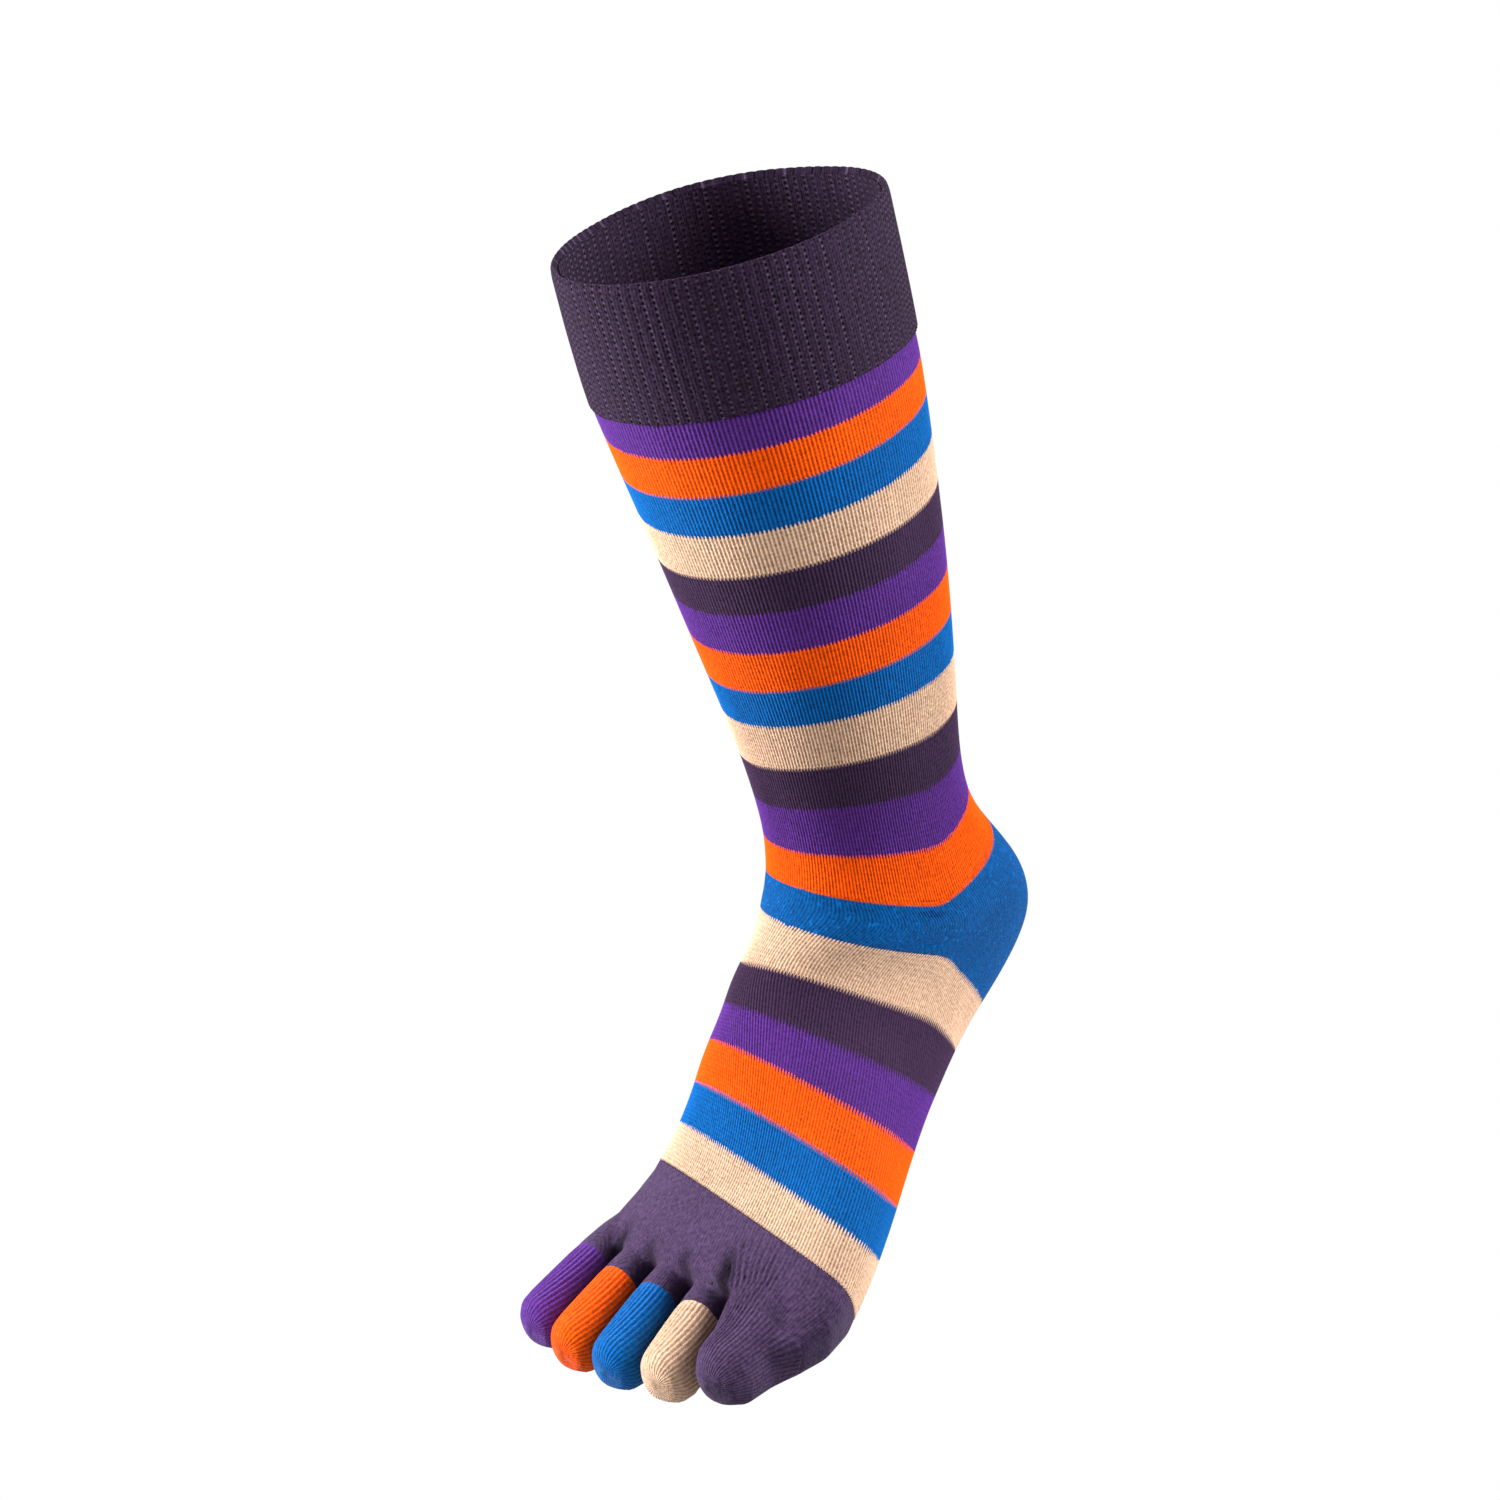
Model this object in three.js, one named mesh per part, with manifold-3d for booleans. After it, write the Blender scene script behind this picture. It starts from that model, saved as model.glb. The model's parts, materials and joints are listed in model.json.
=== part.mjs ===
// A knitted toe sock for a right foot, in the shape that it has when it is worn.
// Units are millimetres, +Z is up, the toes point to -Y and the big toe is on the +X side.
// The sole lies on Z = 0 and the ankle's axis is at Y = 0.
// The sock is one thin knitted wall round a hollow foot form. The form is lofted through short
// tables of sections and the wall is its outside less its inside. Seams cut the wall into the
// pieces of a sock: cuff, leg, heel, foot, forefoot and five toe pockets.

import * as THREE from "three";
import { mergeVertices } from "three/addons/utils/BufferGeometryUtils.js";
import Module from "manifold-3d";

const wasm = await Module();
wasm.setup();

// Knit
const knitWall = 1.5; // single jersey of leg, heel, foot and toes
const cuffWall = 2.3; // turned welt, two layers of rib
const cuffStep = 0.6; // how far the cuff's outside stands proud of the leg
const seamGap = 0.3; // between the edges of two neighbouring pieces

// Foot form
const footReach = 184; // ankle's axis to the longest toe's tip
const heelBack = 56; // ankle's axis to the back of the heel
const ballWidth = 95;
const instepHeight = 83; // sole to the front of the ankle

// Leg form
const legHeight = 279; // sole to the middle of the mouth
const mouthDepth = 104;
const mouthWidth = 88;
const mouthDrop = 0.104; // how much lower the mouth's back is than its front, as a share of its depth
const cuffHeight = 43.5;
const ankleHeight = 94.5; // sole to the leg's narrowest place
const ankleDepth = 67.6;
const ankleWidth = 53.7;

// Toe forms inside the knit
const smallToeWidth = 0.152 * ballWidth;
const smallToeHeight = 16.5;
const bigToeWidth = 0.29 * ballWidth;
const bigToeHeight = 26;
const toeCap = 0.5; // length of a toe's rounded end as a share of its width
const toeSquare = 2.5; // how square a toe's underside and its rounded end are, 2 being an ellipse

// Mesh fineness
const ringSides = 32;
const ringsPerRow = 2;
const toeSides = 16;
const capRings = 3;

const cutterReach = 2 * legHeight; // how far the seam cutters reach past the sock

// A table's first line names its columns, and each line below it becomes one record.
function table([columns, ...lines]) {
  return lines.map((line) => Object.fromEntries(columns.map((column, i) => [column, line[i]])));
}

// The leg from the mouth down to the ankle. Height, depth and width run from the ankle's (0) to the
// mouth's (1). Lean (how far the middle lies behind the ankle) is a share of mouthDepth and out
// (towards the little toe) of mouthWidth. Drop is a share of the row's own depth, as mouthDrop is.
const legRows = table([
  ["height", "depth", "width", "lean", "out", "drop", "square"],
  [1.0, 1.0, 1.0, 0.166, 0.09, mouthDrop, 2.4],
  [0.785, 0.89, 1.05, 0.147, 0.085, 0.107, 2.3],
  [0.564, 0.646, 0.796, 0.101, 0.03, 0.1, 2.15],
  [0.338, 0.368, 0.475, 0.058, -0.005, 0.095, 2.1],
  [0.141, 0.115, 0.14, 0.026, -0.018, 0.095, 2.05],
  [0.0, 0.0, 0.0, 0.011, 0.0, 0.07, 2.05],
]);

// The foot from below the ankle to the ball, in sections that fan round the heel. The front edge
// (frontY, frontZ) lies on the instep and the back edge (backY, backZ) on the heel or the sole.
// Y is a share of footReach, or of heelBack behind the ankle, and Z of instepHeight. Width, out
// (towards the little toe) and ridge (how far the top lies towards the big toe) are shares of
// ballWidth, and yaw turns the big toe's side forwards.
const footRows = table([
  ["frontY", "frontZ", "backY", "backZ", "width", "out", "ridge", "yaw", "square"],
  [-0.199, 1.06, 0.71, 0.88, 0.59, 0.005, 0.0, 0, 2.1],
  [-0.233, 0.984, 0.917, 0.615, 0.635, -0.005, -0.01, 0, 2.3],
  [-0.277, 0.915, 1.0, 0.364, 0.628, 0.014, -0.005, 0, 2.4],
  [-0.325, 0.841, 0.812, 0.156, 0.59, 0.082, 0.003, 0, 2.4],
  [-0.38, 0.761, 0.412, 0.07, 0.59, 0.127, 0.03, 0, 2.5],
  [-0.447, 0.679, -0.088, 0.05, 0.677, 0.108, 0.043, 0.02, 2.7],
  [-0.525, 0.582, -0.32, 0.057, 0.79, 0.052, 0.065, 0.1, 2.8],
  [-0.61, 0.48, -0.535, 0.024, 0.915, 0.017, 0.084, 0.22, 3.6],
  [-0.69, 0.399, -0.687, 0.0, 1.0, 0.012, 0.075, 0.34, 4.6],
  [-0.735, 0.345, -0.735, 0.0, 0.985, 0.025, 0.06, 0.35, 4.6],
  [-0.76, 0.3, -0.76, 0.0, 0.93, 0.03, 0.055, 0.35, 4.4],
]);

// Toes from the big one to the little one. X is a share of ballWidth and Y of footReach; seam is
// where the pocket is joined to the forefoot, as a share of the way from root to tip.
const toeRows = table([
  ["name", "rootX", "rootY", "tipX", "tipY", "seam", "big"],
  ["big_toe", 0.378, -0.66, 0.293, -0.957, 0.63, true],
  ["second_toe", 0.113, -0.68, 0.083, -0.952, 0.54, false],
  ["third_toe", -0.055, -0.66, -0.115, -0.939, 0.5, false],
  ["fourth_toe", -0.2, -0.62, -0.31, -0.91, 0.52, false],
  ["little_toe", -0.335, -0.57, -0.49, -0.863, 0.52, false],
]);

// A toe's side view from root to tip: how far along, how high its underside is and its two widths,
// as shares of the toe's length, height, width and height.
const smallToeProfile = table([
  ["along", "lift", "width", "height"],
  [0, 0.45, 0.8, 0.8],
  [0.4, 0.38, 0.9, 0.92],
  [0.68, 0.2, 0.98, 1.0],
  [1, 0.06, 1.0, 0.98],
]);
const bigToeProfile = table([
  ["along", "lift", "width", "height"],
  [0, 0, 0.95, 1.12],
  [0.4, 0, 1.0, 1.05],
  [0.68, 0, 1.0, 1.0],
  [1, 0.08, 0.66, 0.76],
]);

// Seams in the side view as (Y, Z) points from front to back: the cuff's in millimetres, along the
// mouth, and the heel's two as shares of footReach and instepHeight.
const mouthMiddle = legRows[0].lean * mouthDepth;
const cuffSeam = [-cutterReach, cutterReach].map(
  (y) => [y, legHeight - cuffHeight - mouthDrop * (y - mouthMiddle)]);
const onFoot = ([y, z]) => [y * footReach, z * instepHeight];
const heelTopSeam = [
  [-0.4, 1.34], [-0.207, 1.09], [-0.06, 0.884], [0.16, 0.951], [0.6, 1.01],
].map(onFoot);
const heelLowSeam = [
  [-0.4, 1.31], [-0.25, 1.01], [-0.19, 0.837], [-0.06, 0.629], [0.07, 0.242], [0.16, -0.168],
].map(onFoot);
const heelSeamTilt = -0.15; // the little toe's side of both is higher
const forefootSeam = { y: -0.651, z: 0.43, yaw: 0.51, tilt: 0.62 };

// A closed solid through rings of points that all have the same number of points.
function loft(rings) {
  const sides = rings[0].length;
  const positions = rings.flat().flatMap((point) => point.toArray());
  const triangles = [];
  for (let r = 0; r + 1 < rings.length; r++) {
    for (let s = 0; s < sides; s++) {
      const a = r * sides + s;
      const b = r * sides + ((s + 1) % sides);
      triangles.push(a, b, b + sides, a, b + sides, a + sides);
    }
  }
  for (const r of [0, rings.length - 1]) {
    const centre = rings[r].reduce((sum, point) => sum.add(point), new THREE.Vector3());
    positions.push(...centre.divideScalar(sides).toArray());
    const c = positions.length / 3 - 1;
    for (let s = 0; s < sides; s++) {
      const a = r * sides + s;
      const b = r * sides + ((s + 1) % sides);
      triangles.push(...(r === 0 ? [c, b, a] : [c, a, b]));
    }
  }
  const geometry = new THREE.BufferGeometry();
  geometry.setAttribute("position", new THREE.Float32BufferAttribute(positions, 3));
  geometry.setIndex(triangles);
  return geometry;
}

function toSolid(geometry) {
  geometry.deleteAttribute("normal");
  geometry.deleteAttribute("uv");
  const merged = mergeVertices(geometry);
  return new wasm.Manifold(new wasm.Mesh({
    numProp: 3,
    vertProperties: new Float32Array(merged.attributes.position.array),
    triVerts: new Uint32Array(merged.index.array),
  }));
}

function toGeometry(solid) {
  const mesh = solid.getMesh();
  const geometry = new THREE.BufferGeometry();
  geometry.setAttribute("position", new THREE.BufferAttribute(mesh.vertProperties, 3));
  geometry.setIndex(new THREE.BufferAttribute(mesh.triVerts, 1));
  geometry.computeVertexNormals();
  return geometry;
}

// A smooth curve through rows of numbers, read at a place counted in rows.
function readRows(rows, place) {
  const last = rows.length - 1;
  const start = THREE.MathUtils.clamp(Math.floor(place), 0, last - 1);
  const t = place - start;
  const at = (i) => rows[THREE.MathUtils.clamp(i, 0, last)];
  const row = {};
  for (const key of Object.keys(rows[0])) {
    const [a, b, c, d] = [at(start - 1)[key], at(start)[key], at(start + 1)[key], at(start + 2)[key]];
    const slopeIn = start === 0 ? c - b : (c - a) / 2;
    const slopeOut = start + 1 === last ? c - b : (d - b) / 2;
    row[key] = b * (2 * t ** 3 - 3 * t ** 2 + 1) + c * (3 * t ** 2 - 2 * t ** 3)
      + slopeIn * (t ** 3 - 2 * t ** 2 + t) + slopeOut * (t ** 3 - t ** 2);
  }
  return row;
}

// Both tables in millimetres.
const bodyRows = [
  ...legRows.map((row) => {
    const half = THREE.MathUtils.lerp(ankleDepth, mouthDepth, row.depth) / 2;
    const middleY = row.lean * mouthDepth;
    const middleZ = THREE.MathUtils.lerp(ankleHeight, legHeight, row.height);
    return {
      frontY: middleY - half,
      frontZ: middleZ + half * row.drop,
      backY: middleY + half,
      backZ: middleZ - half * row.drop,
      width: THREE.MathUtils.lerp(ankleWidth, mouthWidth, row.width),
      out: row.out * mouthWidth,
      ridge: 0,
      yaw: 0,
      square: row.square,
    };
  }),
  ...footRows.map((row) => ({
    frontY: row.frontY * footReach,
    frontZ: row.frontZ * instepHeight,
    backY: row.backY > 0 ? row.backY * heelBack : row.backY * footReach,
    backZ: row.backZ * instepHeight,
    width: row.width * ballWidth,
    out: row.out * ballWidth,
    ridge: row.ridge * ballWidth,
    yaw: row.yaw,
    square: row.square,
  })),
];

// One ring: an oval between the front and the back point of the side view, squarer at the back.
function bodyRing(row, offset) {
  const front = new THREE.Vector2(row.frontY, row.frontZ);
  const back = new THREE.Vector2(row.backY, row.backZ);
  const middle = front.clone().add(back).multiplyScalar(0.5);
  const along = front.clone().sub(back);
  const halfDepth = along.length() / 2 + offset;
  const halfWidth = row.width / 2 + offset;
  along.normalize();
  return Array.from({ length: ringSides }, (_, s) => {
    const angle = (-2 * Math.PI * s) / ringSides;
    const power = Math.cos(angle) < 0 ? 2 / row.square : 1;
    const deep = Math.sign(Math.cos(angle)) * Math.abs(Math.cos(angle)) ** power;
    const wide = Math.sign(Math.sin(angle)) * Math.abs(Math.sin(angle)) ** power;
    const x = wide * halfWidth - row.out + row.ridge * (deep + 1);
    return new THREE.Vector3(
      x,
      middle.x + along.x * deep * halfDepth - row.yaw * x,
      middle.y + along.y * deep * halfDepth,
    );
  });
}

// The foot form from the mouth to the ball, grown by an offset, or a stretch of it.
function bodyForm(offset, from, to = bodyRows.length - 1) {
  const steps = Math.ceil((to - from) * ringsPerRow);
  const rings = [];
  for (let i = 0; i <= steps; i++) {
    const row = readRows(bodyRows, from + ((to - from) * i) / steps);
    if (i === steps && to === bodyRows.length - 1) {
      row.frontY -= offset;
      row.backY -= offset;
    }
    rings.push(bodyRing(row, offset));
  }
  return toSolid(loft(rings));
}

function toeFrame(toe) {
  const width = toe.big ? bigToeWidth : smallToeWidth;
  const height = toe.big ? bigToeHeight : smallToeHeight;
  const root = new THREE.Vector3(toe.rootX * ballWidth, toe.rootY * footReach, 0);
  const tip = new THREE.Vector3(toe.tipX * ballWidth, toe.tipY * footReach, 0);
  const length = tip.distanceTo(root);
  const axis = tip.clone().sub(root).normalize();
  const side = new THREE.Vector3(-axis.y, axis.x, 0);
  const profile = toe.big ? bigToeProfile : smallToeProfile;
  return { width, height, root, length, axis, side, profile };
}

// A toe's form: a tube from inside the ball to a round tip, bent down along the toe's profile.
function toeForm(toe, offset) {
  const { width, height, root, length, axis, side, profile } = toeFrame(toe);
  const straight = length - width * toeCap;
  const rings = [];
  const addRing = (place, forward, scale) => {
    const row = readRows(profile, place);
    const centre = root.clone().addScaledVector(axis, row.along * straight + forward);
    centre.z = (row.lift + row.height / 2) * height;
    rings.push(Array.from({ length: toeSides }, (_, s) => {
      const angle = (-2 * Math.PI * s) / toeSides;
      const power = Math.cos(angle) < 0 ? 2 / toeSquare : 1;
      const deep = Math.sign(Math.cos(angle)) * Math.abs(Math.cos(angle)) ** power;
      const across = Math.sign(Math.sin(angle)) * Math.abs(Math.sin(angle)) ** power;
      const wide = across * ((row.width * width) / 2 + offset) * scale;
      const high = deep * ((row.height * height) / 2 + offset) * scale;
      return centre.clone().addScaledVector(side, wide).setZ(centre.z + high);
    }));
  };
  const last = profile.length - 1;
  for (let i = 0; i <= last * ringsPerRow; i++) addRing(i / ringsPerRow, 0, 1);
  for (let i = 1; i <= capRings; i++) {
    const angle = (Math.PI / 2) * (i / (capRings + 0.3));
    const forward = Math.sin(angle) ** (2 / toeSquare) * (width * toeCap + offset);
    addRing(last, forward, Math.cos(angle) ** (2 / toeSquare));
  }
  return toSolid(loft(rings));
}

const group = new THREE.Group();
function addPiece(name, solid, color) {
  const material = new THREE.MeshStandardMaterial({ color, roughness: 0.9, metalness: 0 });
  const mesh = new THREE.Mesh(toGeometry(solid), material);
  mesh.name = name;
  group.add(mesh);
}

// Everything below a line of (Y, Z) points seen from the side, moved down by a distance. A tilt
// lifts the line towards the big toe, or towards the little toe when it is negative.
function belowSeam(seam, down, tilt = 0) {
  const line = seam.map(([y, z]) => new THREE.Vector2(y, z - down));
  const floor = [new THREE.Vector2(cutterReach, -cutterReach), new THREE.Vector2(-cutterReach, -cutterReach)];
  line[0].x = -cutterReach;
  line.at(-1).x = cutterReach;
  const side = new THREE.Shape([...line, ...floor]);
  const geometry = new THREE.ExtrudeGeometry(side, { depth: 2 * cutterReach, bevelEnabled: false });
  geometry.translate(0, 0, -cutterReach);
  const sideToWorld = new THREE.Matrix4().set(0, 0, 1, 0, 1, 0, 0, 0, 0, 1, tilt, 0, 0, 0, 0, 1);
  return toSolid(geometry.applyMatrix4(sideToWorld));
}

// Everything in front of a plane through a point, with the direction that the plane faces.
function inFrontOf(point, forward) {
  const geometry = new THREE.BoxGeometry(2 * cutterReach, 2 * cutterReach, 2 * cutterReach);
  geometry.translate(0, 0, cutterReach);
  geometry.applyQuaternion(new THREE.Quaternion().setFromUnitVectors(new THREE.Vector3(0, 0, 1), forward));
  return toSolid(geometry.translate(point.x, point.y, point.z));
}

const union = (solids) => solids.reduce((sum, solid) => sum.add(solid));
const aboveMouth = -0.2;
const outside = union([bodyForm(knitWall, 0), ...toeRows.map((toe) => toeForm(toe, knitWall))]);
const inside = union([bodyForm(0, aboveMouth), ...toeRows.map((toe) => toeForm(toe, 0))]);
const wall = outside.subtract(inside);

const halfGap = seamGap / 2;
const cutSlack = 0.05; // keeps a cutter's skin off the skin that it cuts
const belowCuff = belowSeam(cuffSeam, halfGap);
const belowLeg = belowSeam(heelTopSeam, halfGap, heelSeamTilt);
const belowHeel = belowSeam(heelLowSeam, halfGap, heelSeamTilt);
const forefootPoint = new THREE.Vector3(0, forefootSeam.y * footReach, forefootSeam.z * instepHeight);
const forefootForward = new THREE.Vector3(-forefootSeam.yaw, -1, -forefootSeam.tilt).normalize();
const seamPlane = (shift) => inFrontOf(
  forefootPoint.clone().addScaledVector(forefootForward, shift), forefootForward);

const plum = 0x46304e;
const purple = 0x5b2c8f;
const orange = 0xff5f0a;
const blue = 0x0b60b4;
const beige = 0xdcb697;

const cuffOutside = knitWall + cuffStep;
const cuffBottom = 2; // the leg's row that the cuff's tube reaches down to before its seam cuts it
const cuffTube = bodyForm(cuffOutside, 0, cuffBottom)
  .subtract(bodyForm(cuffOutside - cuffWall, aboveMouth, cuffBottom - aboveMouth));
addPiece("cuff", cuffTube.subtract(belowSeam(cuffSeam, -halfGap)), plum);
const legEnd = belowSeam(heelTopSeam, -halfGap, heelSeamTilt);
addPiece("leg", wall.intersect(belowCuff).subtract(legEnd), purple);
const heelEnd = belowSeam(heelLowSeam, -halfGap, heelSeamTilt);
addPiece("heel", wall.intersect(belowLeg).subtract(heelEnd), blue);
addPiece("foot", wall.intersect(belowHeel).subtract(seamPlane(-halfGap)), orange);

const toeColors = [plum, beige, blue, orange, purple];
let forefoot = wall.intersect(seamPlane(halfGap));
toeRows.forEach((toe, i) => {
  const { root, length, axis } = toeFrame(toe);
  const pastSeam = (shift) => {
    return inFrontOf(root.clone().addScaledVector(axis, length * toe.seam + shift), axis);
  };
  forefoot = forefoot.subtract(toeForm(toe, knitWall + cutSlack).intersect(pastSeam(-halfGap)));
  const pocket = toeForm(toe, knitWall).subtract(inside).intersect(pastSeam(halfGap));
  addPiece(toe.name, pocket, toeColors[i]);
});
addPiece("forefoot", forefoot, plum);

export default group;
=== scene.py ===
# Striped toe sock for a right foot, knitted in cotton, worn shape with an open cuff.
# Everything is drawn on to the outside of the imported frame, in its place. Tables are in millimetres.

import bpy
import json
import math
import numpy as np
from mathutils import Matrix, Vector
from mathutils.bvhtree import BVHTree

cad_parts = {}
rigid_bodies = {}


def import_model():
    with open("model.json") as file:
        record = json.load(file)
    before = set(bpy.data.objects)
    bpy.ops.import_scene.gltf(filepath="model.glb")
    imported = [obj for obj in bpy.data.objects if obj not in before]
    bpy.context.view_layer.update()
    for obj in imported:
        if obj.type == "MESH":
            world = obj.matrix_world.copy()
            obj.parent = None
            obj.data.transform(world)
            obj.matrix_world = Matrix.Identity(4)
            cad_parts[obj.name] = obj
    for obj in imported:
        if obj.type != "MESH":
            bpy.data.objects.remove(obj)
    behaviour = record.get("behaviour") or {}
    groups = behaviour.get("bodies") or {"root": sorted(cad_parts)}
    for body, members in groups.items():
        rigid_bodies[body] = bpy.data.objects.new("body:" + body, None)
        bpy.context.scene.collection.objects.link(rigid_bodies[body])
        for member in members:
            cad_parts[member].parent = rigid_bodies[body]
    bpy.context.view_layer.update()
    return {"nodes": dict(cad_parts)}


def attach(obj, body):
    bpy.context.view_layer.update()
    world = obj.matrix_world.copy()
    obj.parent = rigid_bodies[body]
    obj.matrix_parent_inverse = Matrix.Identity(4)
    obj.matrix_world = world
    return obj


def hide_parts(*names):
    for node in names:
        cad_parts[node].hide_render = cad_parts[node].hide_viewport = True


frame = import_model()
scene = bpy.context.scene
mm = 0.001
weldDistance = 0.002  # in millimetres, corners of a frame node that lie closer than this are one
print("frame loaded:", len(frame["nodes"]), "nodes")


# small helpers

def deselectAll():
    if bpy.context.mode != "OBJECT":
        bpy.ops.object.mode_set(mode="OBJECT")
    bpy.ops.object.select_all(action="DESELECT")


# In edit mode, what is picked: vertices, edges or faces
def selectBy(*kinds):
    scene.tool_settings.mesh_select_mode = tuple(kind in kinds for kind in ("VERT", "EDGE", "FACE"))


def clearSelection(thing, kind="FACE"):
    pick(thing)
    selectBy(kind)
    bpy.ops.object.mode_set(mode="EDIT")
    bpy.ops.mesh.select_all(action="DESELECT")
    bpy.ops.object.mode_set(mode="OBJECT")


def pick(thing):
    deselectAll()
    thing.select_set(True)
    bpy.context.view_layer.objects.active = thing


def applyModifier(thing, kind, **settings):
    pick(thing)
    modifier = thing.modifiers.new(kind.lower(), kind)
    for key, value in settings.items():
        setattr(modifier, key, value)
    bpy.ops.object.modifier_apply(modifier=modifier.name)


# One merged copy of some of the frame's nodes
def copyNodes(name, nodes):
    copies = []
    for node in nodes:
        copy = frame["nodes"][node].copy()
        copy.data = copy.data.copy()
        copy.parent = None
        copy.matrix_world = Matrix.Identity(4)
        scene.collection.objects.link(copy)
        copies.append(copy)
    deselectAll()
    for copy in copies:
        copy.select_set(True)
    bpy.context.view_layer.objects.active = copies[0]
    if len(copies) > 1:
        bpy.ops.object.join()
    whole = bpy.context.view_layer.objects.active
    whole.name = name
    whole.data.materials.clear()
    for key in list(whole.keys()):
        del whole[key]
    bpy.ops.object.mode_set(mode="EDIT")
    bpy.ops.mesh.select_all(action="SELECT")
    bpy.ops.mesh.remove_doubles(threshold=weldDistance * mm)
    bpy.ops.object.mode_set(mode="OBJECT")
    return whole


def skinOf(thing):
    corners = [vertex.co.copy() for vertex in thing.data.vertices]
    return BVHTree.FromPolygons(corners, [tuple(face.vertices) for face in thing.data.polygons])


def discard(thing):
    bpy.data.meshes.remove(thing.data, do_unlink=True)


# drawing rings on the frame's outside

# wall: a ray leaves the knit's wall within this of where it enters. step: how far past a hit the ray
# starts again. hits: how often it does so at most. gap: how far a row moves when it meets the gap
# between two nodes. samples: rays round one ring. radius: of the circle that a tube starts from.
ringSettings = {"wall": 4, "step": 0.01, "hits": 12, "gap": 0.4, "samples": 240, "radius": 20}


def outsidePoint(skin, start, direction):
    point, found, entered = start, None, None
    for _ in range(ringSettings["hits"]):
        hit, normal, _face, distance = skin.ray_cast(point, direction)
        if hit is None:
            break
        travelled = (hit - start).length
        if entered is None:
            entered = travelled
        if travelled > entered + ringSettings["wall"] * mm:
            break
        if normal.dot(direction) > 0:
            found = hit
        point = hit + direction * ringSettings["step"] * mm
    return found


# A row is a bent plane: two arms in the side view, to the front and to the back, from one corner
def rowShape(row):
    front, back = math.radians(row["front"]), math.radians(row["back"])
    return (
        Vector((0, row["y"], row["z"])) * mm,
        Vector((0, -math.cos(front), math.sin(front))),
        Vector((0, math.cos(back), math.sin(back))),
        Vector((1, row["yaw"], row["tilt"])),
    )


def drawRing(skin, row, count):
    samples = ringSettings["samples"]
    corner, frontArm, backArm, across = rowShape(row)
    shift = frontArm.cross(across).normalized() * ringSettings["gap"] * mm

    def reach(start, direction):
        direction = direction.normalized()
        for step in (0, 1, -1, 2, -2, 4, -4):
            found = outsidePoint(skin, start + shift * step, direction)
            if found:
                return found - shift * step
        raise ValueError(f"row {row} misses the frame towards {direction}")

    middle = (reach(corner, across) + reach(corner, -across)) / 2
    fine = []
    for i in range(samples):
        angle = 2 * math.pi * i / samples
        arm = frontArm if math.cos(angle) >= 0 else backArm
        fine.append(reach(middle, arm * abs(math.cos(angle)) + across * math.sin(angle)))
    ring = []  # even steps along each side, from front to back and to the front again
    half = samples // 2
    for start in (0, half):
        side = np.array([fine[(start + i) % samples] for i in range(half + 1)])
        run = np.concatenate([[0], np.cumsum(np.linalg.norm(np.diff(side, axis=0), axis=1))])
        stops = np.linspace(0, run[-1], count // 2, endpoint=False)
        ring += [Vector([np.interp(s, run, side[:, axis]) for axis in range(3)]) for s in stops]
    return [point + (middle - point).normalized() * row["inset"] * mm for point in ring]


# Each vertex's own row or column number
def numberedBy(mesh, label):
    numbers = np.zeros(len(mesh.vertices), np.int32)
    mesh.attributes[label].data.foreach_get("value", numbers)
    return numbers


# A circle extruded once a row, then each of its vertices drawn to its place
def extrudeTube(name, rings):
    count = len(rings[0])
    centres = [sum(ring, Vector()) / count for ring in rings]
    deselectAll()
    selectBy("VERT")
    bpy.ops.mesh.primitive_circle_add(vertices=count, radius=ringSettings["radius"] * mm, location=centres[0])
    tube = bpy.context.object
    tube.name = name
    bpy.ops.object.transform_apply(location=True, rotation=True, scale=True)
    for label in ("column", "row"):
        tube.data.attributes.new(label, "INT", "POINT")
    tube.data.attributes["column"].data.foreach_set("value", list(range(count)))
    for i in range(1, len(rings)):
        bpy.ops.object.mode_set(mode="EDIT")
        bpy.ops.mesh.extrude_region_move(TRANSFORM_OT_translate={"value": centres[i] - centres[i - 1]})
        bpy.ops.object.mode_set(mode="OBJECT")
        chosen = np.zeros(len(tube.data.vertices), bool)
        tube.data.vertices.foreach_get("select", chosen)
        rows = numberedBy(tube.data, "row")
        rows[chosen] = i
        tube.data.attributes["row"].data.foreach_set("value", rows)
    places = [rings[r][c] for r, c in zip(numberedBy(tube.data, "row"), numberedBy(tube.data, "column"))]
    tube.data.vertices.foreach_set("co", np.array(places, float).ravel())
    tube.data.update()
    return tube


# U counts wales round the tube and V counts stripes down it; each face keeps its own side of the join
def mapKnit(tube, wales, rowPlaces):
    mesh = tube.data
    columns, rows = numberedBy(mesh, "column"), numberedBy(mesh, "row")
    count = columns.max() + 1
    knit = mesh.uv_layers.new(name="Knit")
    for face in mesh.polygons:
        joins = {0, count - 1} <= {int(columns[v]) for v in face.vertices}
        for loop, v in zip(face.loop_indices, face.vertices):
            column = count if joins and columns[v] == 0 else columns[v]
            knit.data[loop].uv = (column * wales / count, rowPlaces[rows[v]])
    for label in ("column", "row"):
        mesh.attributes.remove(mesh.attributes[label])


def faceOutwards(tube):
    pick(tube)
    bpy.ops.object.mode_set(mode="EDIT")
    bpy.ops.mesh.select_all(action="SELECT")
    bpy.ops.mesh.normals_make_consistent(inside=False)
    bpy.ops.object.mode_set(mode="OBJECT")
    centre = sum((v.co for v in tube.data.vertices), Vector()) / len(tube.data.vertices)
    lean = sum(face.normal.dot(face.center - centre) * face.area for face in tube.data.polygons)
    if lean < 0:
        tube.data.flip_normals()


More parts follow.
